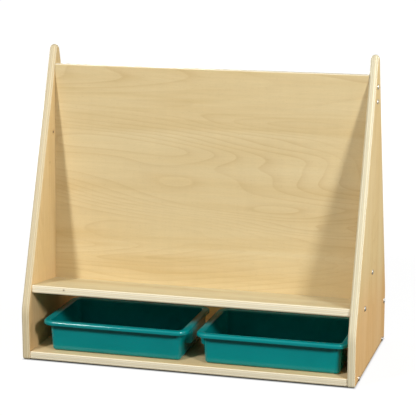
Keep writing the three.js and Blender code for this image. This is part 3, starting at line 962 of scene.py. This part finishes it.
def trays():
    """Two trays with their finger pulls towards each other."""
    plastic = teal_plastic()
    tree = tray_tree(plastic)
    y = FRONT_Y + TRAY_FRONT_INSET + TRAY_DEPTH / 2
    z = BOTTOM_SHELF_TOP + FIT_GAP
    places = {
        "left": (-INNER_HALF + LEFT_TRAY_GAP + TRAY_LENGTH / 2, 0),
        "right": (INNER_HALF - RIGHT_TRAY_GAP - TRAY_LENGTH / 2, math.pi),
    }
    for label, (x, turn) in places.items():
        block, pocket = pull_solids()
        pull = combined("finger_pull", block, pocket, "DIFFERENCE")
        mesh = combined(f"tray_{label}_shell", tray_shell(tree), pull, "UNION")
        turned_to(mesh, (x, y, z), turn)
        made = piece(mesh.name, mesh, plastic)
        fitted(made, f"{label}_tray", "teal_plastic", f"tray_{label}")


# Screws with domed heads and a cross drive
SCREW_SIZES = {
    "Head radius": 5.75 * MM,
    "Head rim": 0.8 * MM,
    "Head height": 3.2 * MM,
    "Shank radius": 2.25 * MM,
    "Length": 45 * MM,
    "Point": 5 * MM,
    "Drive width": 1.3 * MM,
    "Drive span": 5.2 * MM,
    "Drive depth": 1.4 * MM,
    "Sides": 40,
    "Seed": 7,
}


def screw_head(tree, sizes):
    """A dome that is cut flat at the seat, by a cube of four radii below it."""
    radius, rim = sizes["Head radius"], sizes["Head rim"]
    ball = add(
        tree,
        "GeometryNodeMeshUVSphere",
        {"Segments": sizes["Sides"], "Rings": SCREW_HEAD_RINGS, "Radius": 1.0},
    ).outputs[0]
    dome_height = sums(tree, "SUBTRACT", sizes["Head height"], rim)
    dome = moved(
        tree,
        ball,
        translation=triple(tree, 0, 0, rim),
        scale=triple(tree, radius, radius, dome_height),
    )
    broad = sums(tree, "MULTIPLY", radius, 4)
    cube = add(tree, "GeometryNodeMeshCube", {"Size": triple(tree, broad, broad, broad)})
    drop = sums(tree, "MULTIPLY", radius, -2)
    below = moved(tree, cube.outputs[0], translation=triple(tree, 0, 0, drop))
    return carved(tree, dome, below)


def screw_shank(tree, sizes):
    """A straight shank that laps into the head by half of its rim."""
    straight = sums(tree, "SUBTRACT", sizes["Length"], sizes["Point"])
    lap = sums(tree, "MULTIPLY", sizes["Head rim"], 0.5)
    shank = add(
        tree,
        "GeometryNodeMeshCylinder",
        {
            "Vertices": SCREW_SHANK_SIDES,
            "Radius": sizes["Shank radius"],
            "Depth": sums(tree, "ADD", straight, lap),
        },
    ).outputs[0]
    middle = sums(tree, "MULTIPLY", sums(tree, "SUBTRACT", lap, straight), 0.5)
    return moved(tree, shank, translation=triple(tree, 0, 0, middle))


def screw_point(tree, sizes):
    cone = add(
        tree,
        "GeometryNodeMeshCone",
        {
            "Vertices": SCREW_SHANK_SIDES,
            "Radius Top": sizes["Shank radius"],
            "Radius Bottom": 0.0,
            "Depth": sizes["Point"],
        },
    ).outputs[0]
    end = sums(tree, "MULTIPLY", sizes["Length"], -1)
    return moved(tree, cone, translation=triple(tree, 0, 0, end))


def cross_drive(tree, sizes):
    """Two crossed bars, half of whose height lies in the head."""
    height = sums(tree, "MULTIPLY", sizes["Drive depth"], 2)
    size = triple(tree, sizes["Drive span"], sizes["Drive width"], height)
    bar = add(tree, "GeometryNodeMeshCube", {"Size": size}).outputs[0]
    bar = moved(tree, bar, translation=triple(tree, 0, 0, sizes["Head height"]))
    return bar, moved(tree, bar, rotation=(0, 0, math.pi / 2))


def screw_rotation(tree, sizes):
    """Each head faces the way that its seat's aim gives, with its drive turned at random."""
    aim = add(tree, "GeometryNodeInputNamedAttribute", {"Name": "aim"}, data_type="FLOAT_VECTOR")
    aim = aim.outputs[0]
    upright = add(tree, "FunctionNodeAlignRotationToVector", {"Vector": aim}, axis="Z").outputs[0]
    spin = add(
        tree,
        "FunctionNodeRandomValue",
        {2: 0.0, 3: math.pi / 2, "Seed": sizes["Seed"]},
        data_type="FLOAT",
    ).outputs[1]
    turn = add(tree, "FunctionNodeAxisAngleToRotation", {"Angle": spin}).outputs[0]
    return add(
        tree,
        "FunctionNodeRotateRotation",
        {"Rotation": upright, "Rotate By": turn},
        rotation_space="LOCAL",
    ).outputs[0]


def screw_tree(material):
    tree, sizes = geometry_tree("stand_screws", SCREW_SIZES)
    blank = welded(tree, screw_head(tree, sizes), screw_shank(tree, sizes))
    screw = add(tree, "GeometryNodeJoinGeometry")
    for solid in (carved(tree, blank, *cross_drive(tree, sizes)), screw_point(tree, sizes)):
        tree.links.new(solid, screw.inputs[0])
    seated = add(
        tree,
        "GeometryNodeInstanceOnPoints",
        {
            "Points": sizes["Geometry"],
            "Instance": screw.outputs[0],
            "Rotation": screw_rotation(tree, sizes),
        },
    ).outputs[0]
    end_tree(tree, seated, material)
    return tree


def shelf_middle(distance):
    return along(along(SHELF_FRONT_TOP, SHELF_BACKWARD, distance), SHELF_UPWARD, -BOARD / 2)


def back_middle(corner, distance):
    return along(along(corner, BACK_UPWARD, distance), BACK_REARWARD, BOARD / 2)


def screw_seats():
    """Each screw's node with the seat of its head and the way the head faces."""
    bottom_middle = BOTTOM_SHELF_LIFT + BOARD / 2
    back_upper_inset = BACK_TOP_SCREW_INSET + BACK_TOP_SCREW_SPACING
    spots = {
        "bottom_front": (BOTTOM_FRONT_Y + BOTTOM_SCREW_INSET, bottom_middle),
        "bottom_rear": (BOTTOM_REAR_Y - BOTTOM_SCREW_INSET, bottom_middle),
        "display_shelf": shelf_middle(SHELF_SCREW_INSET),
        "back_top": back_middle(BACK_FRONT_TOP, -BACK_TOP_SCREW_INSET),
        "back_upper": back_middle(BACK_FRONT_TOP, -back_upper_inset),
        "back_low": back_middle(BACK_FRONT_UNDER, BACK_LOW_SCREW_INSET),
        "lower_back": (LOWER_BACK_FRONT_Y + BOARD / 2, BOTTOM_SHELF_TOP + LOWER_BACK_HEIGHT / 2),
    }
    seats = {}
    for label, sign in (("left", -1), ("right", 1)):
        for spot, (y, z) in spots.items():
            seats[f"screw_{label}_{spot}"] = ((sign * OUTER_HALF, y, z), (sign, 0, 0))
    seat = meet(BACK_REAR_TOP, BACK_UPWARD, shelf_middle(SHELF_SCREW_INSET), SHELF_BACKWARD)
    seat = along(seat, BACK_REARWARD, FIT_GAP)
    run = INNER_WIDTH / 2 - BACK_SHELF_SCREW_MARGIN
    for number, x in enumerate((-run, 0, run), start=1):
        seats[f"screw_back_shelf_{number}"] = ((x, *seat), (0, *BACK_REARWARD))
    return seats


def stand_screws():
    seats = screw_seats()
    points = bpy.data.meshes.new("screw_seats")
    points.from_pydata([at for at, _ in seats.values()], [], [])
    aims = [value for _, aim in seats.values() for value in aim]
    points.attributes.new("aim", "FLOAT_VECTOR", "POINT").data.foreach_set("vector", aims)
    mesh = grown("stand_screws", points, screw_tree(screw_steel()), SCREW_SIZES)
    fitted(piece(mesh.name, mesh), "stand", "screw_steel", *seats)


def dowels():
    """The dowels keep their own shape and get a beech finish."""
    beech = dowel_beech()
    for name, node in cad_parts.items():
        if name.startswith("dowel_"):
            for place in node.material_slots:
                place.material = beech


# Studio: pale floor and world, soft lamps and the camera of the photograph
WHITE = (1, 1, 1, 1)
FLOOR_SIZE = 30.0
FLOOR_DROP = 0.4 * MM
FLOOR_COLOUR = (0.12, 0.12, 0.12, 1)

# The floor's glow: it fades out across the stand's outline, a painted contact shadow from 8 mm
# inside to 4 mm outside, and what is missing comes further out
FLOOR_GLOW = 0.9
PAINTED_SHADOW_FADE = (-8 * MM, 4 * MM)
GLOW_COMPLETES = (0.8, 2.2)

# How much of the white a mirror shows: on the floor, from near to far, and in the sky
FLOOR_MIRRORED = (0.6, 2.4, 0.03, 0.28)
SKY_MIRRORED = 0.3

# The sky's light: where it comes from, and its level from its edge to its middle
FILL_FROM = (0, -0.25, 0.968)
FILL_LEVEL = (0.42, 0.98, 0.03, 0.42)

# Lamps: azimuth and elevation in degrees, distance, width and height in metres, power in watts
LAMP_TARGET = Vector((0, 0, 0.3))
LAMPS = {
    "key": (52, 26, 3.6, 0.5, 0.65, 71),
    "side": (90, 14, 3.6, 0.8, 0.8, 51),
    "front": (-30, 32, 3.6, 0.35, 0.6, 75),
    "rear": (200, 5, 4.0, 0.8, 0.8, 75),
    "rear_left": (-112, 10, 4.0, 1.2, 1.2, 70),
}

CAMERA_TARGET = Vector((13.29, -40.5, 341.97)) * MM
CAMERA_AZIMUTH = 15.60
CAMERA_ELEVATION = 12.51
CAMERA_DISTANCE = 3547.87 * MM
CAMERA_LENS = 137.1
CAMERA_SENSOR = 36.0
CAMERA_REACH = 100


def seen_share(tree, mirrored):
    """1 for what the camera sees directly or through glass, less in a mirror and 0 for light that
    falls on the object."""
    path = add(tree, "ShaderNodeLightPath").outputs
    direct = sums(tree, "MAXIMUM", path["Is Camera Ray"], path["Is Transmission Ray"])
    return sums(tree, "MAXIMUM", direct, sums(tree, "MULTIPLY", path["Is Glossy Ray"], mirrored))


def floor_finish():
    """A pale floor that keeps the shadow. Its glow makes it white, except under the object and in a
    painted contact shadow round it.
    """
    material = bpy.data.materials.new("studio_floor")
    tree = blank_tree(material)
    place = add(tree, "ShaderNodeTexCoord").outputs["Object"]
    away = add(tree, "ShaderNodeVectorMath", {0: place}, operation="LENGTH").outputs["Value"]
    spot = add(tree, "ShaderNodeSeparateXYZ", {0: place}).outputs
    beside = sums(tree, "SUBTRACT", sums(tree, "ABSOLUTE", spot["X"]), OUTER_HALF)
    beyond = sums(tree, "SUBTRACT", sums(tree, "ABSOLUTE", spot["Y"]), REAR_Y)
    # Painted contact shadow: the glow is held back near the stand's outline
    near = mapped(tree, sums(tree, "MAXIMUM", beside, beyond), *PAINTED_SHADOW_FADE, 0, FLOOR_GLOW)
    far = mapped(tree, away, *GLOW_COMPLETES, 0, 1 - FLOOR_GLOW)
    seen = seen_share(tree, mapped(tree, away, *FLOOR_MIRRORED))
    glow = sums(tree, "MULTIPLY", sums(tree, "ADD", near, far), seen)
    lit = add(tree, "ShaderNodeBsdfDiffuse", {"Color": FLOOR_COLOUR}).outputs[0]
    shine = add(tree, "ShaderNodeEmission", {"Color": WHITE, "Strength": glow}).outputs[0]
    both = add(tree, "ShaderNodeAddShader", {0: lit, 1: shine}).outputs[0]
    add(tree, "ShaderNodeOutputMaterial", {"Surface": both})
    return material


def studio_floor():
    half = FLOOR_SIZE / 2
    mesh = bpy.data.meshes.new("studio_floor")
    corners = [(-half, -half), (half, -half), (half, half), (-half, half)]
    mesh.from_pydata([(x, y, -FLOOR_DROP) for x, y in corners], [], [(0, 1, 2, 3)])
    mesh.materials.append(floor_finish())
    floor = in_scene("studio_floor", mesh)


def studio_world():
    """White where it is seen. Its light comes from above the front, less towards the horizon."""
    world = bpy.data.worlds.new("studio")
    bpy.context.scene.world = world
    tree = blank_tree(world)
    way = add(tree, "ShaderNodeTexCoord").outputs["Generated"]
    facing = add(tree, "ShaderNodeVectorMath", {0: way, 1: FILL_FROM}, operation="DOT_PRODUCT")
    fill = mapped(tree, facing.outputs["Value"], *FILL_LEVEL)
    shares = {0: seen_share(tree, SKY_MIRRORED), 2: fill, 3: 1.0}
    level = add(tree, "ShaderNodeMix", shares, data_type="FLOAT").outputs[0]
    sky = add(tree, "ShaderNodeBackground", {"Color": WHITE, "Strength": level}).outputs[0]
    add(tree, "ShaderNodeOutputWorld", {"Surface": sky})


def aim_from(made, target, azimuth, elevation, distance):
    """Puts a lamp or camera at an azimuth to the right of the front and an elevation, in degrees."""
    side, rise = math.radians(azimuth), math.radians(elevation)
    level = math.cos(rise)
    back = Vector((math.sin(side) * level, -math.cos(side) * level, math.sin(rise)))
    made.location = target + back * distance
    made.rotation_euler = back.to_track_quat("Z", "Y").to_euler()


def soft_lamps():
    for name, (azimuth, elevation, distance, width, height, power) in LAMPS.items():
        data = bpy.data.lights.new(name, "AREA")
        data.shape = "RECTANGLE"
        data.size = width
        data.size_y = height
        data.energy = power
        aim_from(in_scene(name, data), LAMP_TARGET, azimuth, elevation, distance)


def studio_camera():
    data = bpy.data.cameras.new("camera")
    data.sensor_width = CAMERA_SENSOR
    data.lens = CAMERA_LENS
    data.clip_end = CAMERA_REACH
    camera = in_scene("camera", data)
    aim_from(camera, CAMERA_TARGET, CAMERA_AZIMUTH, CAMERA_ELEVATION, CAMERA_DISTANCE)
    bpy.context.scene.camera = camera


studio_camera()
stand_boards()
trays()
stand_screws()
dowels()
studio_floor()
studio_world()
soft_lamps()
bpy.context.scene.view_settings.view_transform = "Standard"
